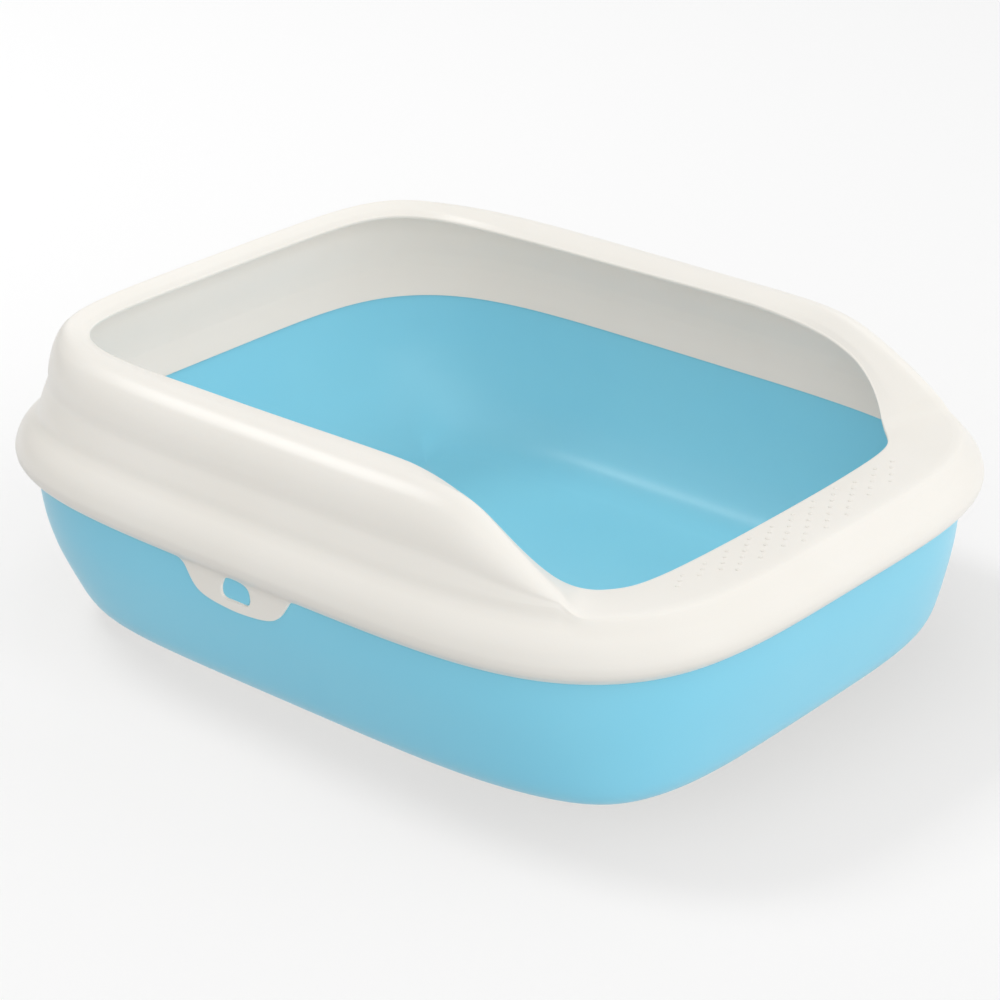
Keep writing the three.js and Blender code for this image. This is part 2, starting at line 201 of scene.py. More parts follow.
# ------------------------------------------------------------------ mesh builder
class Build:
    """Collects patches with their own normals, joins equal corners, and makes one mesh."""

    def __init__(self):
        self.v, self.f, self.n, self.base = [], [], [], 0

    def patch(self, verts, faces, normals=None):
        verts = np.asarray(verts, float)
        faces = [tuple(int(i) for i in f) for f in faces]
        if normals is None:
            normals = np.zeros_like(verts)
            for f in faces:
                a, b, c = verts[f[0]], verts[f[1]], verts[f[2]]
                q = np.cross(b - a, c - a)
                if len(f) == 4:
                    q = q + np.cross(c - a, verts[f[3]] - a)
                for i in f:
                    normals[i] += q
        if normals.shape == (3,):
            normals = np.tile(normals, (len(verts), 1))
        normals = normals / np.maximum(np.linalg.norm(normals, axis=1)[:, None], 1e-12)
        self.v.append(verts)
        self.n.append(normals)
        self.f += [tuple(i + self.base for i in f) for f in faces]
        self.base += len(verts)

    def object(self, name):
        v, n = np.concatenate(self.v), np.concatenate(self.n)
        _, first, inv = np.unique(np.round(v, 4), axis=0, return_index=True, return_inverse=True)
        inv = inv.ravel()
        faces, loops = [], []
        for f in self.f:
            g, ln = [], []
            for i in f:
                j = int(inv[i])
                if not g or (j != g[-1] and j != g[0]):
                    g.append(j)
                    ln.append(n[i])
            if len(g) > 2:
                faces.append(g)
                loops += ln
        mesh = bpy.data.meshes.new(name)
        mesh.from_pydata((v[first] * MM).tolist(), [], faces)
        mesh.shade_smooth()
        mesh.normals_split_custom_set([tuple(x) for x in loops])
        mesh.update()
        o = bpy.data.objects.new(name, mesh)
        bpy.context.scene.collection.objects.link(o)
        return o


def grid_normals(P, wrap_k):
    di = np.roll(P, -1, 0) - np.roll(P, 1, 0)
    if wrap_k:
        dk = np.roll(P, -1, 1) - np.roll(P, 1, 1)
    else:
        dk = np.empty_like(P)
        dk[:, 1:-1] = P[:, 2:] - P[:, :-2]
        dk[:, 0], dk[:, -1] = P[:, 1] - P[:, 0], P[:, -1] - P[:, -2]
    n = np.cross(di, dk)
    return n / np.maximum(np.linalg.norm(n, axis=2, keepdims=True), 1e-12)


def place(p, n, sec):
    """Section points (inset, height) at each station -> x, y, z in mm."""
    return np.concatenate([p[:, None, :] - n[:, None, :] * sec[..., :1], sec[..., 1:2] + SEAT_Z], -1)


# ------------------------------------------------------------------ guard's section
def guard_section(p, n):
    side = n[:, 0] ** 2
    top = soften(crest_at(p[:, 1]), p, 3.5)
    lipS, lipZ = lip_at(p, n)
    lipS, lipZ = soften(lipS, p, 3.5), soften(lipZ, p, 3.5)
    w = smooth01((top - 36.0) / 7.5)
    q = np.minimum(1, (top - 34.0) / 9.0)
    rise = np.clip((top - 40.5) / (GUARD_TOP - 40.5), 0, 1)
    cs = CREST_BACK + (CREST_SIDE - CREST_BACK) * side
    cs = 5.6 + (cs - 5.6) * (0.35 + 0.65 * rise)
    rx = np.minimum(ROLL_BACK[0] + (ROLL_SIDE[0] - ROLL_BACK[0]) * side, (cs - 5.6) * 0.8)
    rz = np.minimum(ROLL_BACK[1] + (ROLL_SIDE[1] - ROLL_BACK[1]) * side, np.maximum(top - 40.5, 0.5) * 0.72)

    def K(a, b):
        return np.stack([np.full_like(top, a), np.full_like(top, b)], -1)

    def bead(a, b):
        return K(a * (BULGE - 0.04) / 11 if a < 0 else a, b)

    def mix(a, b, f=None):
        f = w if f is None else f
        f = f[:, None] if np.ndim(f) else f
        return a + (b - a) * f

    def arc(deg, off=0.0):
        a = math.radians(deg)
        return np.stack([cs - (rx - off) * math.cos(a), top - off - (rz - off) * (1 - math.sin(a))], -1)

    def zq(z):
        return 27.7 + (z - 27.7) * q

    def high(a, b):
        return np.stack([np.full_like(top, a), zq(b)], -1)

    low_deg = [0, 22, 45, 68, 90]
    low_s, low_z = [4.2, 4.9, 5.9, 7.4, 10.5], [34.7, 35.05, 35.3, 35.45, 35.5]

    def low(deg):
        return K(np.interp(deg, low_deg, low_s), np.interp(deg, low_deg, low_z))

    neck = mix(K(3.2, 34.1), high(6.0, 39.0))
    shoulder = mix(low(0), arc(0))
    a4 = mix(low(90), arc(90))
    lip = np.stack([lipS, lipZ], -1)
    up = np.stack([np.zeros_like(top), np.ones_like(top)], -1)
    b0, b1, b2 = mix(a4, lip, 0.16), mix(a4, lip, 0.42), mix(a4, lip, 0.76)
    b0 = b0 + 0.26 * up
    b1 = b1 + 0.42 * up
    b2 = b2 + 0.34 * up
    one = np.array([1.0, 0.0])
    outer = [
        bead(1.15, 0.0), bead(0.55, 0.0), bead(0.12, 0.06), bead(-0.34, 0.26), bead(-2.1, 1.42), bead(-4.444, 3.0),
        bead(-8.0, 6.2), bead(-10.4, 9.8), bead(-11.0, 12.6), bead(-10.5, 16.0),
        bead(-8.9, 20.0), bead(-6.0, 24.2), bead(-2.3, 27.7),
        mix(K(0.4, 30.8), high(1.7, 31.0)), mix(K(2.1, 32.9), high(4.7, 34.6)), neck,
        mix(neck, shoulder, 0.5)]
    outer += [mix(low(dg), arc(dg)) for dg in (0, 11, 22, 33, 45, 56, 68, 79, 90)]
    outer += [b0, b1, b2, lip - 1.25 * one + 0.16 * up, lip - 0.55 * one + 0.03 * up, lip - 0.16 * one - 0.17 * up,
              lip - 0.0 * one - 0.62 * up]
    crease = mix(K(9.6, 31.4), np.stack([np.full_like(top, 8.7), np.minimum(36.0, top - 6.5)], -1))
    cr = np.stack([cs + 0.6, top - WALL - 0.1], -1)
    sh_in = np.stack([shoulder[:, 0] + WALL + 0.2, shoulder[:, 1] - 1.0], -1)
    inner = [
        lip - 1.15 * up, lip - 0.14 * one - 1.85 * up, lip - 0.6 * one - WALL * up, lip - 1.4 * one - 2.26 * up,
        b2 - (WALL + 0.1) * up, b1 - (WALL + 0.1) * up,
        mix(K(12.0, 33.1), cr), mix(K(11.0, 32.9), arc(55, WALL)), mix(K(10.4, 32.5), arc(25, WALL)),
        mix(K(10.0, 32.0), sh_in), mix(crease, mix(K(10.0, 32.0), sh_in), 0.12), crease, mix(crease, K(7.2, 28.6), 0.5),
        K(7.2, 28.6), K(7.2, 27.6), K(7.2, 18.0), K(7.2, INNER_LIP_Z + 0.75), K(7.05, INNER_LIP_Z + 0.22), K(6.65, INNER_LIP_Z),
        K(5.6, INNER_LIP_Z), K(5.2, INNER_LIP_Z + 0.2), K(5.1, INNER_LIP_Z + 0.7), K(5.1, 18.0), K(5.1, PAN_RIM_Z + GAP - 0.4),
        K(4.8, PAN_RIM_Z + GAP), K(2.6, PAN_RIM_Z + GAP), K(2.1, PAN_RIM_Z + GAP - 0.1),
        bead(-1.0, 25.4), bead(-4.4, 22.0), bead(-6.9, 18.4), bead(-8.3, 15.2),
        bead(-8.8, 12.6), bead(-8.2, 10.8), bead(-5.8, 8.0), bead(-1.9, 4.5), bead(0.04, 3.0), bead(1.9, 1.36),
        bead(2.24, 0.95), bead(2.3, 0.5), bead(2.14, 0.12), bead(1.7, 0.0)]
    ctrl = np.stack(outer + inner + [outer[0]], 1)
    size = np.median(np.linalg.norm(np.diff(ctrl, axis=1), axis=2), axis=0)
    no = len(outer)
    sub = [max(1, min(5, int(round(x / (1.9 if i < no else 3.4))))) for i, x in enumerate(size)]
    k_out = int(np.sum(sub[:5]))                 # column of the point at the flex line, outside
    k_in = int(np.sum(sub[:no + 35]))            # and inside
    loop = spline(ctrl, sub)[:, :-1]
    return loop, k_out, k_in


# ------------------------------------------------------------------ guard
GST = 520
gp, gn = stations(GST, exact=(LATCH_Y - LATCH_HALF, LATCH_Y + LATCH_HALF))
gsec, K_OUT, K_IN = guard_section(gp, gn)
G = place(gp, gn, gsec)
GN = grid_normals(G, True)
cols = G.shape[1]
assert abs(gsec[0, K_OUT, 1] - FLEX_Z) < 1e-6 and abs(gsec[0, K_IN, 1] - FLEX_Z) < 1e-6

in_notch = np.zeros(GST, bool)
for i in range(GST):
    j = (i + 1) % GST
    ym = (gp[i, 1] + gp[j, 1]) / 2
    in_notch[i] = abs(gp[i, 0]) > 150 and abs(ym - LATCH_Y) < LATCH_HALF
gb = Build()
faces = []
low_cols = set(range(0, K_OUT)) | set(range(K_IN, cols))
for i in range(GST):
    j = (i + 1) % GST
    for k in range(cols):
        if in_notch[i] and k in low_cols:
            continue
        l = (k + 1) % cols
        faces.append((i * cols + k, j * cols + k, j * cols + l, i * cols + l))
gb.patch(G.reshape(-1, 3), faces, GN.reshape(-1, 3))
for i in range(GST):
    j = (i + 1) % GST
    if in_notch[i]:
        gb.patch([G[i, K_IN], G[j, K_IN], G[j, K_OUT], G[i, K_OUT]], [(0, 1, 2, 3)], np.array([0, 0, -1.0]))
# the two ends of each notch are closed
for i in range(GST):
    prev = in_notch[i - 1]
    here = in_notch[i]
    if prev == here:
        continue
    ring = [k % cols for k in range(K_IN, cols + K_OUT + 1)]
    poly = G[i, ring]
    step = G[(i + 1) % GST, K_OUT] - G[i - 1, K_OUT]
    d = step / np.linalg.norm(step)
    if here:      # notch starts: the wall before it looks forward
        order = list(range(len(ring)))
        want = d
    else:
        order = list(range(len(ring)))[::-1]
        want = -d
    q = np.zeros(3)
    for a in range(len(order)):
        q += np.cross(poly[order[a]], poly[order[(a + 1) % len(order)]])
    if q @ want < 0:
        order = order[::-1]
    gb.patch(poly, [tuple(order)], want)

# raised dots on the tread, in diagonal rows
DOT_ROWS = [((94.3, -205.5), (68.6, -221.5), 4), ((80.2, -203.6), (46.2, -222.2), 5),
            ((57.7, -205.5), (16.7, -227.7), 6), ((44.8, -201.1), (-4.1, -228.5), 7),
            ((23.3, -201.9), (-25.1, -228.9), 7), ((2.3, -203.0), (-36.6, -223.9), 6),
            ((-18.0, -203.5), (-55.7, -223.2), 6), ((-38.0, -203.0), (-75.2, -222.5), 6),
            ((-57.6, -202.9), (-78.9, -214.6), 4), ((-76.8, -202.7), (-91.1, -209.9), 3),
            ((-95.8, -202.5), (-108.9, -209.0), 3)]
tree = BVHTree.FromPolygons([Vector(v) for v in G.reshape(-1, 3)], faces)
for a, b, count in DOT_ROWS:
    for k in range(count):
        x, y = np.array(a) + (np.array(b) - np.array(a)) * k / (count - 1)
        hit, nrm, _, _ = tree.ray_cast(Vector((x, y, SEAT_Z + 90)), Vector((0, 0, -1)))
        z = np.array(nrm)
        e1 = np.cross([0, 1, 0], z)
        e1 /= np.linalg.norm(e1)
        e2 = np.cross(z, e1)
        seg, prof = 20, [(1.2, -0.25)] + [(1.2 * math.cos(math.radians(t)), 0.02 + 0.5 * math.sin(math.radians(t)))
                                          for t in (0, 16, 32, 48, 64, 78)]
        rings = np.array([[np.array(hit) + e1 * r * math.cos(2 * math.pi * s / seg) + e2 * r * math.sin(2 * math.pi * s / seg)
                           + z * h for s in range(seg)] for r, h in prof])
        pts = np.concatenate([rings.reshape(-1, 3), [np.array(hit) + z * 0.52], [np.array(hit) - z * 0.25]])
        fc = []
        for r in range(len(prof) - 1):
            for s in range(seg):
                u = (s + 1) % seg
                fc.append((r * seg + s, r * seg + u, (r + 1) * seg + u, (r + 1) * seg + s))
        top_i, bot_i = len(pts) - 2, len(pts) - 1
        for s in range(seg):
            u = (s + 1) % seg
            fc.append(((len(prof) - 1) * seg + s, (len(prof) - 1) * seg + u, top_i))
            fc.append((u, s, bot_i))
        gb.patch(pts, fc)
guard = gb.object("guard_shell")

# ------------------------------------------------------------------ pan
PAN_OUT = np.array([
    [56.0, -86.7], [46.0, -86.7], [38.0, -86.62], [32.0, -86.2], [26.5, -84.8], [21.4, -82.0], [17.4, -77.6],
    [14.0, -70.9], [11.6, -62.7], [9.4, -53.4], [7.5, -44.2], [5.9, -36.0], [4.5, -27.3],
    [3.5, -17.4], [2.9, -7.6], [2.7, 0], [2.7, 13.0], [2.7, 25.6], [2.78, 26.1], [3.1, PAN_RIM_Z - 0.08], [3.5, PAN_RIM_Z]])
PAN_IN = np.array([
    [4.0, PAN_RIM_Z], [4.4, PAN_RIM_Z - 0.08], [4.72, 26.1], [4.8, 25.6], [4.8, 13.0], [4.8, 0], [5.0, -7.6], [5.7, -17.4],
    [6.7, -27.3], [8.2, -36.0], [10.0, -44.7], [12.2, -54.0], [15.2, -63.3], [19.8, -72.0],
    [26.3, -78.7], [34.0, -82.5], [43.0, -83.9], [52.0, -84.0], [62.0, -84.0]])


def pan_section(n):
    side, end = n[:, 0] ** 2, n[:, 1] ** 2
    corner = 4 * side * end
    k = PAN_LEAN_SIDE * side + np.where(n[:, 1] > 0, PAN_LEAN_BACK * end, FRONT_CORNER * corner)
    tuck = np.where(n[:, 1] > 0, REAR_CORNER * corner, 0)

    def lean(T, base):
        d = np.maximum(T[:, 0] - base, 0)
        s = T[None, :, 0] + k[:, None] * 26 * (1 - np.exp(-d / 26))[None] + tuck[:, None] * smooth01((-T[:, 1] - 40) / 45)[None]
        return np.stack([s, np.broadcast_to(T[None, :, 1], s.shape)], -1)

    ctrl = np.concatenate([lean(PAN_OUT, 2.7), lean(PAN_IN, 4.8)], 1)
    size = np.median(np.linalg.norm(np.diff(ctrl, axis=1), axis=2), axis=0)
    sub = [max(1, min(5, int(round(x / 2.6)))) for x in size]
    sec = spline(ctrl, sub)
    sec[..., 1] = np.maximum(sec[..., 1], -86.7)
    return sec


PST = 440
pp, pn = stations(PST)
psec = pan_section(pn)
P = place(pp, pn, psec)
pc = P.shape[1]
PN = grid_normals(P, False)
PN[:, 0], PN[:, -1] = [0, 0, -1], [0, 0, 1]
pb = Build()
pf = []
for i in range(PST):
    j = (i + 1) % PST
    for k in range(pc - 1):
        pf.append((i * pc + k, j * pc + k, j * pc + k + 1, i * pc + k + 1))
pb.patch(P.reshape(-1, 3), pf, PN.reshape(-1, 3))
for col, zdir in ((0, -1.0), (pc - 1, 1.0)):
    rim = P[:, col]
    centre = np.array([0, 0, rim[0, 2]])
    rings = [centre + (rim - centre) * u for u in (1.0, 0.86, 0.7, 0.54, 0.38, 0.22, 0.09)]
    flat = np.concatenate([np.concatenate(rings), [centre]])
    cf = []
    for r in range(len(rings) - 1):
        for i in range(PST):
            j = (i + 1) % PST
            q = (r * PST + i, r * PST + j, (r + 1) * PST + j, (r + 1) * PST + i)
            cf.append(q if zdir > 0 else q[::-1])
    for i in range(PST):
        j = (i + 1) % PST
        q = ((len(rings) - 1) * PST + i, (len(rings) - 1) * PST + j, len(flat) - 1)
        cf.append(q if zdir > 0 else q[::-1])
    pb.patch(flat, cf, np.array([0, 0, zdir]))
pan = pb.object("pan_shell")

# ------------------------------------------------------------------ latch tabs
TAB_HALF = np.array([[45.0, 0.0], [43.4, -0.05], [41.8, -0.4], [39.8, -1.8], [38.0, -4.3], [36.0, -7.4],
                     [33.8, -10.6], [31.4, -13.3], [28.8, -15.3], [25.5, -16.8], [20.0, -18.2], [10.0, -19.4],
                     [0, -19.9]])
D_HALF = np.array([[0, -14.0], [3.6, -14.0], [7.2, -14.0], [9.4, -13.0], [10.7, -10.8], [10.8, -8.3],
                   [10.3, -5.5], [8.9, -2.9], [6.4, -0.9], [3.4, 0.1], [0, 0.4]])


def resample(P, step):
    d = np.concatenate([[0], np.cumsum(np.hypot(*np.diff(P, axis=0).T))])
    n = max(2, int(round(d[-1] / step)))
    s = np.linspace(0, d[-1], n + 1)
    return np.stack([np.interp(s, d, P[:, 0]), np.interp(s, d, P[:, 1])], -1)


def curve2(P, step):
    return resample(spline(P[None], [8] * (len(P) - 1))[0], step)


def d_ring(g, step=0.6):
    """Closed D outline, shrunk by g, counter-clockwise in (y, z)."""
    half = D_HALF.copy()
    half[:, 0] *= (10.8 - g) / 10.8
    half[:, 1] = -6.8 + (half[:, 1] + 6.8) * (7.2 - g) / 7.2
    full = np.concatenate([half, half[-2:0:-1] * [-1, 1]])
    v = np.concatenate([full[-3:], full, full[:4]])
    dense = spline(v[None], [8] * (len(v) - 1))[0][3 * 8:(3 + len(full)) * 8 + 1]
    return resample(dense, step)[:-1]


def ring_normals(R):
    """Normals of a closed counter-clockwise ring, pointing out of it."""
    t = np.roll(R, -1, 0) - np.roll(R, 1, 0)
    n = np.stack([t[:, 1], -t[:, 0]], -1)
    return n / np.linalg.norm(n, axis=1)[:, None]


def inside(Q, R):
    x, y = Q[:, 0][:, None], Q[:, 1][:, None]
    x0, y0 = R[:, 0][None], R[:, 1][None]
    x1, y1 = np.roll(R[:, 0], -1)[None], np.roll(R[:, 1], -1)[None]
    cross = ((y0 > y) != (y1 > y)) & (x < (x1 - x0) * (y - y0) / np.where(y1 == y0, 1e-12, y1 - y0) + x0)
    return cross.sum(1) % 2 == 1


def distance(Q, R):
    a, b = R[None], np.roll(R, -1, 0)[None]
    q = Q[:, None]
    ab = b - a
    t = np.clip(((q - a) * ab).sum(-1) / np.maximum((ab ** 2).sum(-1), 1e-12), 0, 1)
    return np.linalg.norm(q - a - ab * t[..., None], axis=-1).min(1)


def outline_x(y):
    n = np.where(y < 0, POW_FRONT, POW_BACK)
    return HALF_W * (1 - np.abs(y / HALF_L) ** n) ** (1 / n)


o_prof = gsec[0, 2:K_OUT + 1]
i_prof = gsec[0, K_IN:][gsec[0, K_IN:, 1] > 0.45]
TOP = FLEX_Z - 0.004
EDGE = 0.55                                   # rounding of the tab's free edges
half = LATCH_HALF - 0.1
lower = curve2(np.concatenate([TAB_HALF * [-1, 1], TAB_HALF[-2::-1]]), 0.7)
topline = np.stack([np.linspace(half, -half, 134), np.full(134, TOP)], -1)
left_end = np.array([[-half, 2.0], [-half, 1.2], [-half, 0.5], [-half + 0.1, 0.12], [-half + 0.4, 0.0]])
OUTER = np.concatenate([topline, left_end, lower, (left_end * [-1, 1])[::-1]])
HOLE = d_ring(0.0)
if np.sum(OUTER[:, 0] * np.roll(OUTER[:, 1], -1) - np.roll(OUTER[:, 0], -1) * OUTER[:, 1]) < 0:
    OUTER = OUTER[::-1]
if np.sum(HOLE[:, 0] * np.roll(HOLE[:, 1], -1) - np.roll(HOLE[:, 0], -1) * HOLE[:, 1]) < 0:
    HOLE = HOLE[::-1]
free = 1 - smooth01((OUTER[:, 1] + 0.2) / 1.2)            # 1 on the free lower edge, 0 at the flex line
pts2, cons = [], []
for R, sgn, wt in ((OUTER, -1, free), (HOLE, 1, None)):
    start = sum(len(x) for x in pts2)
    pts2.append(R)
    cons += [(start + i, start + (i + 1) % len(R)) for i in range(len(R))]
    nr = ring_normals(R) * sgn
    for off in (0.07, 0.22, 0.55):
        ring = R + nr * off
        if wt is not None:
            ring = ring[wt > 0.3]
        pts2.append(ring)
fixed = np.concatenate(pts2)
rows = [2.5, 2.0, 1.5, 1.0, 0.5, 0.0, -0.5, -1.0, -1.6, -2.3, -3.1, -4.1, -5.3, -6.6, -8.0, -9.4, -10.8, -12.2, -13.6, -15.0,
        -16.4, -17.8, -19.0]
cand = np.array([[y + (0.35 if r % 2 else -0.35), z] for r, z in enumerate(rows) for y in np.arange(-45.5, 45.6, 1.4)])
ok = inside(cand, OUTER) & ~inside(cand, HOLE) & (distance(cand, OUTER) > 0.45) & (distance(cand, HOLE) > 0.8)
near_edge = (cand[:, 1] < 0.3) & (distance(cand, OUTER) < 0.95)
cand = cand[ok & ~near_edge]
allp = np.concatenate([fixed, cand])
res = mg.delaunay_2d_cdt([Vector(q) for q in allp], cons, [], 0, 1e-5)
V2 = np.array([[v.x, v.y] for v in res[0]])
T2 = np.array([list(f) for f in res[2]])
cen = V2[T2].mean(1)
T2 = T2[inside(cen, OUTER) & ~inside(cen, HOLE)]
e0, e1 = V2[T2[:, 1]] - V2[T2[:, 0]], V2[T2[:, 2]] - V2[T2[:, 0]]
area = e0[:, 0] * e1[:, 1] - e0[:, 1] * e1[:, 0]
T2 = T2[np.abs(area) > 1e-7]
area = area[np.abs(area) > 1e-7]
T2 = np.where((area > 0)[:, None], T2, T2[:, [0, 2, 1]])
dist_edge = np.minimum(distance(V2, OUTER) + 10 * smooth01((V2[:, 1] + 0.2) / 1.2), distance(V2, HOLE))
round_in = np.where(dist_edge < EDGE, EDGE - np.sqrt(np.maximum(EDGE ** 2 - (EDGE - np.minimum(dist_edge, EDGE)) ** 2, 0)), 0)


def fillet(z):
    """Inset of the smooth turn from the flat tab up into the bead's underside."""
    a, b = np.array([0.0, -4.2]), o_prof[-1]
    c = np.array([0.0, -0.6])
    t = np.linspace(0, 1, 60)[:, None]
    q = (1 - t) ** 2 * a + 2 * t * (1 - t) * c + t ** 2 * b
    return np.interp(z, q[:, 1], q[:, 0], left=0.0)


def outer_s(y, z):
    f = 1 - smooth01((np.abs(y) - 37.5) / 8.0)
    plain = np.where(z < 0.2, 0.0, np.interp(z, o_prof[:, 1], o_prof[:, 0]))
    return plain + (fillet(z) - plain) * f


def inner_s(y, z):
    zs, ss = i_prof[::-1, 1], i_prof[::-1, 0]
    return np.where(z < 0.95, 2.3, np.interp(z, zs, ss))


dz = o_prof[-1] - o_prof[-2]
flex_normal = np.array([dz[1], dz[0]])
gnm = GN[np.argmin(np.abs(gp[:, 1] - LATCH_Y) + (gp[:, 0] < 0) * 999), K_OUT]
latches, catches = {}, {}
for name, sx in (("left", -1.0), ("right", 1.0)):
    def world(q, s):
        y = q[:, 0] + LATCH_Y
        return np.stack([sx * (outline_x(y) - s), y, q[:, 1] + SEAT_Z], -1)

    A = world(V2, outer_s(V2[:, 0], V2[:, 1]) + round_in)
    B = world(V2, inner_s(V2[:, 0], V2[:, 1]) - round_in * (V2[:, 1] < 0.9))
    # seen from outside, +y runs to the left on the -x side and to the right on the +x side
    FA = T2 if sx > 0 else T2[:, ::-1]
    FB = FA[:, ::-1]

    def patch_normals(Vx, F):
        nn = np.zeros_like(Vx)
        q = np.cross(Vx[F[:, 1]] - Vx[F[:, 0]], Vx[F[:, 2]] - Vx[F[:, 0]])
        for c in range(3):
            np.add.at(nn, F[:, c], q)
        return nn / np.maximum(np.linalg.norm(nn, axis=1)[:, None], 1e-12)

    NA, NB = patch_normals(A, FA), patch_normals(B, FB)
    at_top = V2[:, 1] > TOP - 1e-4
    NA[at_top] = np.array([sx * gnm[0], gnm[1], gnm[2]])
    b = Build()
    b.patch(A, FA, NA)
    b.patch(B, FB, NB)
    for R, flip in ((OUTER, False), (HOLE, True)):
        n = len(R)
        de = np.minimum(10 * smooth01((R[:, 1] + 0.2) / 1.2), EDGE) if not flip else np.zeros(n)
        ri = np.where(de < EDGE, EDGE - np.sqrt(np.maximum(EDGE ** 2 - (EDGE - de) ** 2, 0)), 0)
        RA = world(R, outer_s(R[:, 0], R[:, 1]) + ri)
        RB = world(R, inner_s(R[:, 0], R[:, 1]) - ri * (R[:, 1] < 0.9))
        rn = ring_normals(R) * (-1 if flip else 1)
        n3 = np.stack([np.zeros(n), rn[:, 0], rn[:, 1]], -1)
        q = [(i, (i + 1) % n, n + (i + 1) % n, n + i) for i in range(n)]
        # outside -> inside wall; its faces look away from the material
        probe = np.cross(RA[1] - RA[0], RB[1] - RA[0]) @ n3[0]
        if probe < 0:
            q = [f[::-1] for f in q]
        b.patch(np.concatenate([RA, RB]), q, np.concatenate([n3, n3]))
    latches[name] = b.object(name + "_latch_tab")

    # catch on the pan that stands in the window
    rings = [(0.6, 3.6), (0.6, 1.25), (0.63, 0.98), (0.75, 0.78), (0.98, 0.66), (1.4, 0.6), (2.6, 0.52), (4.2, 0.47), (5.9, 0.45)]
    c = Build()
    n_pts = len(d_ring(0.6))
    base = d_ring(0.6)
    mid = np.array([0, -6.8])
    R3 = []
    for g, s in rings:
        kx, kz = (10.8 - g) / (10.8 - 0.6), (7.2 - g) / (7.2 - 0.6)
        q = mid + (base - mid) * [kx, kz]
        y = q[:, 0] + LATCH_Y
        R3.append(np.stack([np.full(len(q), sx * (HALF_W - s)), y, q[:, 1] + SEAT_Z], -1))
    m = len(base)
    V = np.concatenate([np.concatenate(R3), [[sx * (HALF_W - 0.44), LATCH_Y, -6.8 + SEAT_Z], [sx * (HALF_W - 3.6), LATCH_Y, -6.8 + SEAT_Z]]])
    F = []
    for r in range(len(rings) - 1):
        for i in range(m):
            j = (i + 1) % m
            F.append((r * m + i, r * m + j, (r + 1) * m + j, (r + 1) * m + i))
    tip, back_i = len(V) - 2, len(V) - 1
    for i in range(m):
        j = (i + 1) % m
        F.append(((len(rings) - 1) * m + i, (len(rings) - 1) * m + j, tip))
        F.append((j, i, back_i))
    f0 = F[len(F) - 2]
    if np.cross(V[f0[1]] - V[f0[0]], V[f0[2]] - V[f0[0]])[0] * sx < 0:
        F = [f[::-1] for f in F]
    c.patch(V, F)
    catches[name] = c.object(name + "_catch")


# ------------------------------------------------------------------ materials
def plastic(name, base, dark, light, rough, grain):
    """Satin moulded polypropylene: faint flow mottling, a fine mould grain, and light scuffs that dull the gloss."""
    mat = bpy.data.materials.new(name)
    mat.use_nodes = True
    nt = mat.node_tree
    nd, ln = nt.nodes, nt.links
    bsdf = nd["Principled BSDF"]
    bsdf.inputs["IOR"].default_value = 1.49
    bsdf.inputs["Specular IOR Level"].default_value = 0.5
    bsdf.inputs["Metallic"].default_value = 0.0
    bsdf.inputs["Subsurface Weight"].default_value = 0.12
    bsdf.inputs["Subsurface Radius"].default_value = (0.0030, 0.0034, 0.0038)
    bsdf.inputs["Subsurface Scale"].default_value = 1.0
    co = nd.new("ShaderNodeTexCoord")

    def noise(scale, detail, rough_=0.5, stretch=None):
        n = nd.new("ShaderNodeTexNoise")
        n.inputs["Scale"].default_value = scale
        n.inputs["Detail"].default_value = detail
        n.inputs["Roughness"].default_value = rough_
        if stretch:
            mp = nd.new("ShaderNodeMapping")
            mp.inputs["Scale"].default_value = stretch
            mp.inputs["Rotation"].default_value = (0.3, 0.2, 0.6)
            ln.new(co.outputs["Object"], mp.inputs["Vector"])
            ln.new(mp.outputs["Vector"], n.inputs["Vector"])
        else:
            ln.new(co.outputs["Object"], n.inputs["Vector"])
        return n

    def span(src, lo, hi, to_lo=0.0, to_hi=1.0):
        r = nd.new("ShaderNodeMapRange")
        r.interpolation_type = "SMOOTHSTEP"
        r.inputs["From Min"].default_value, r.inputs["From Max"].default_value = lo, hi
        r.inputs["To Min"].default_value, r.inputs["To Max"].default_value = to_lo, to_hi
        ln.new(src.outputs["Fac"], r.inputs["Value"])
        return r

    cloud = noise(9.0, 2.0)                         # slow colour drift of the melt flow
    mixc = nd.new("ShaderNodeMix")
    mixc.data_type = "RGBA"
    mixc.inputs["A"].default_value = (*dark, 1)
    mixc.inputs["B"].default_value = (*light, 1)
    ln.new(span(cloud, 0.3, 0.7).outputs["Result"], mixc.inputs["Factor"])
    ln.new(mixc.outputs["Result"], bsdf.inputs["Base Color"])

    fine = noise(2600.0, 2.0)                       # mould grain, about 0.4 mm
    mid_ = noise(70.0, 2.0)                         # gentle ripple of a large moulding
    rub = noise(26.0, 3.0)                          # areas dulled by handling and wiping
    base_r = nd.new("ShaderNodeMath")
    base_r.operation = "MULTIPLY_ADD"
    ln.new(mid_.outputs["Fac"], base_r.inputs[0])
    base_r.inputs[1].default_value, base_r.inputs[2].default_value = 0.04, rough - 0.035
    addr = nd.new("ShaderNodeMath")
    addr.operation = "MULTIPLY_ADD"
    ln.new(rub.outputs["Fac"], addr.inputs[0])
    addr.inputs[1].default_value = 0.06
    ln.new(base_r.outputs[0], addr.inputs[2])
    ln.new(addr.outputs[0], bsdf.inputs["Roughness"])

    b1 = nd.new("ShaderNodeBump")
    b1.inputs["Strength"].default_value = grain
    b1.inputs["Distance"].default_value = 0.00006
    ln.new(fine.outputs["Fac"], b1.inputs["Height"])
    b2 = nd.new("ShaderNodeBump")
    b2.inputs["Strength"].default_value = 0.05
    b2.inputs["Distance"].default_value = 0.0006
    ln.new(mid_.outputs["Fac"], b2.inputs["Height"])
    ln.new(b1.outputs["Normal"], b2.inputs["Normal"])
    ln.new(b2.outputs["Normal"], bsdf.inputs["Normal"])
    return mat


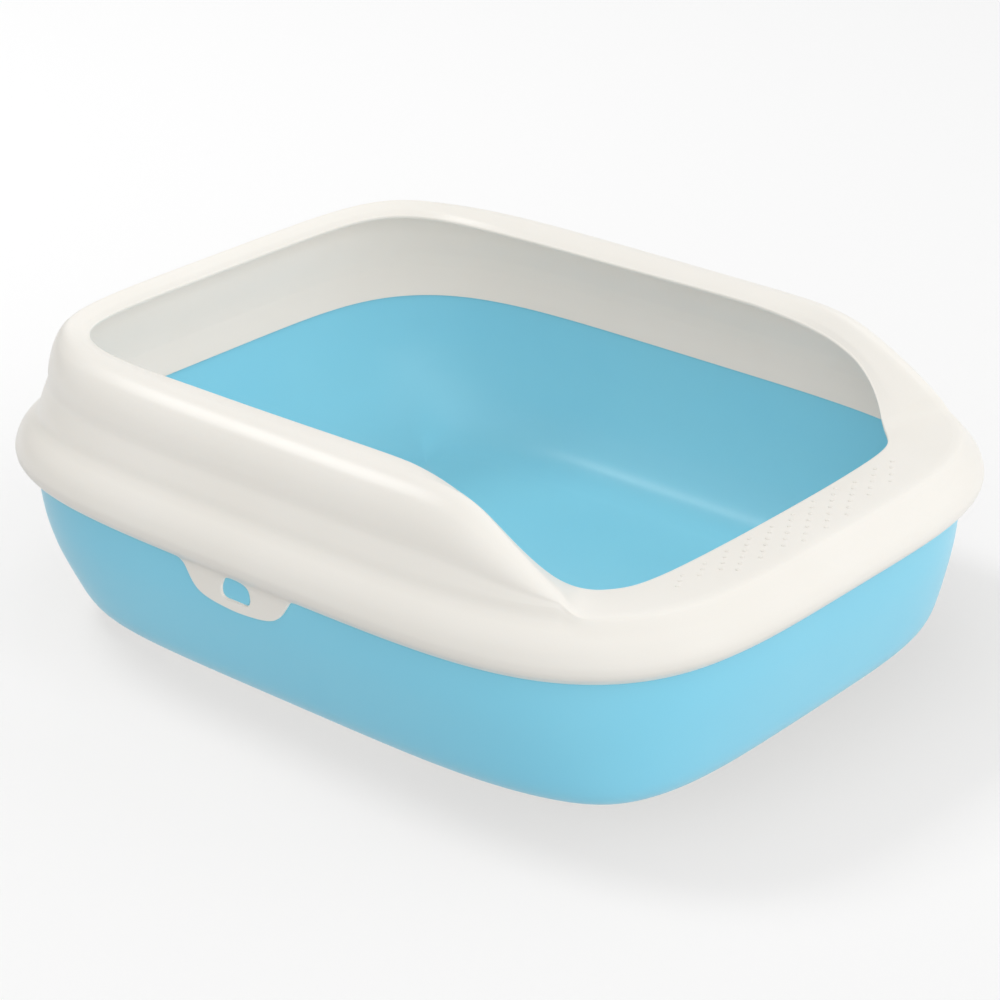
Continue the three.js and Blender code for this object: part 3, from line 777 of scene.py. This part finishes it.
white = plastic("guard_plastic", (0.878, 0.850, 0.792), (0.868, 0.839, 0.779), (0.887, 0.860, 0.804), 0.30, 0.5)
blue = plastic("pan_plastic", (0.234, 0.672, 0.868), (0.229, 0.664, 0.862), (0.239, 0.680, 0.874), 0.29, 0.5)

for o, body, slot_, mat in ((guard, "guard_body", "guard_plastic", white), (pan, "pan_body", "pan_plastic", blue),
                            (catches["left"], "pan_body", "pan_plastic", blue), (catches["right"], "pan_body", "pan_plastic", blue)):
    o.data.materials.append(mat)
    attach(o, body)
for o in (pan, catches["left"], catches["right"]):
    o.visible_diffuse = False                 # keeps the blue off the inner walls and the floor, as a bright studio does
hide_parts("guard")
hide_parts("pan")
for name in ("left", "right"):
    o = latches[name]
    o.data.materials.append(white)
    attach(o, name + "_latch_body")
    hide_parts(name + "_latch")

# ------------------------------------------------------------------ floor, light, camera
floor_mesh = bpy.data.meshes.new("floor")
R = 6.0
floor_mesh.from_pydata([(-R, -R, -0.0002), (R, -R, -0.0002), (R, R, -0.0002), (-R, R, -0.0002)], [], [(0, 1, 2, 3)])
floor = bpy.data.objects.new("floor", floor_mesh)
bpy.context.scene.collection.objects.link(floor)
fm = bpy.data.materials.new("floor_paper")
fm.use_nodes = True
fb = fm.node_tree.nodes["Principled BSDF"]
fb.inputs["Base Color"].default_value = (0.93, 0.93, 0.93, 1)
fb.inputs["Roughness"].default_value = 0.9
fb.inputs["Specular IOR Level"].default_value = 0.1
floor_mesh.materials.append(fm)
floor.visible_diffuse = False                 # the world's lower half is the light that comes up from below

world_ = bpy.data.worlds.new("studio")
world_.use_nodes = True
wt = world_.node_tree
bg = wt.nodes["Background"]
bg.inputs["Color"].default_value = (1.0, 1.0, 1.0, 1)
# soft boxes on every side: brightness by direction, (+x, -x, +y, -y, +z, -z)
LOBES = (0.79, 0.61, 0.02, 0.81, 0.65, 0.10)
tc = wt.nodes.new("ShaderNodeTexCoord")
sep = wt.nodes.new("ShaderNodeSeparateXYZ")
wt.links.new(tc.outputs["Generated"], sep.inputs[0])
total = None
for i, amount in enumerate(LOBES):
    mul_ = wt.nodes.new("ShaderNodeMath")
    mul_.operation = "MULTIPLY"
    mul_.use_clamp = False
    mul_.inputs[1].default_value = amount if i % 2 == 0 else -amount
    wt.links.new(sep.outputs[i // 2], mul_.inputs[0])
    pos = wt.nodes.new("ShaderNodeMath")
    pos.operation = "MAXIMUM"
    pos.inputs[1].default_value = 0.0
    wt.links.new(mul_.outputs[0], pos.inputs[0])
    if total is None:
        total = pos.outputs[0]
    else:
        add_ = wt.nodes.new("ShaderNodeMath")
        add_.operation = "ADD"
        wt.links.new(total, add_.inputs[0])
        wt.links.new(pos.outputs[0], add_.inputs[1])
        total = add_.outputs[0]
wt.links.new(total, bg.inputs["Strength"])
bpy.context.scene.world = world_
world_.cycles.sampling_method = "NONE"


def area_light(name, at, to, size, watts, colour=(1, 1, 1)):
    d = bpy.data.lights.new(name, "AREA")
    d.shape = "RECTANGLE"
    d.size, d.size_y = size
    d.energy = watts
    d.color = colour
    o = bpy.data.objects.new(name, d)
    o.location = at
    o.rotation_mode = "QUATERNION"
    o.rotation_quaternion = (Vector(to) - Vector(at)).to_track_quat("-Z", "Y")
    bpy.context.scene.collection.objects.link(o)
    return o


area_light("back_top", (-0.22, 1.58, 2.13), (0, 0, 0.08), (0.7, 0.7), 11.5)
area_light("low_front", (0.15, -1.8, 0.30), (0, 0, 0.08), (0.4, 0.4), 0.6)

sc = bpy.context.scene
sc.view_settings.view_transform = "Standard"
sc.view_settings.look = "None"
sc.view_settings.exposure = 0.0
sc.view_settings.gamma = 1.0

az, el, roll = math.radians(-50.0887), math.radians(25.0112), math.radians(0.28247)
D, F_PX, TX, TY = 1.7680123, 3049.1329, -0.24954e-3, -17.71736e-3
back = Vector((math.sin(az) * math.cos(el), -math.cos(az) * math.cos(el), math.sin(el)))
right0 = Vector((math.cos(az), math.sin(az), 0))
up0 = back.cross(right0)
right = math.cos(roll) * right0 + math.sin(roll) * up0
up = -math.sin(roll) * right0 + math.cos(roll) * up0
loc = D * back + TX * right + TY * up + Vector((0, 0, SEAT_Z * MM))
cam_data = bpy.data.cameras.new("camera")
cam_data.sensor_width = 36.0
cam_data.sensor_fit = "HORIZONTAL"
cam_data.lens = F_PX / 1000 * 36.0
cam_data.clip_start, cam_data.clip_end = 0.05, 50.0
cam = bpy.data.objects.new("camera", cam_data)
m = Matrix((right, up, back)).transposed().to_4x4()
m.translation = loc
cam.matrix_world = m
sc.collection.objects.link(cam)
sc.camera = cam

bpy.context.view_layer.update()
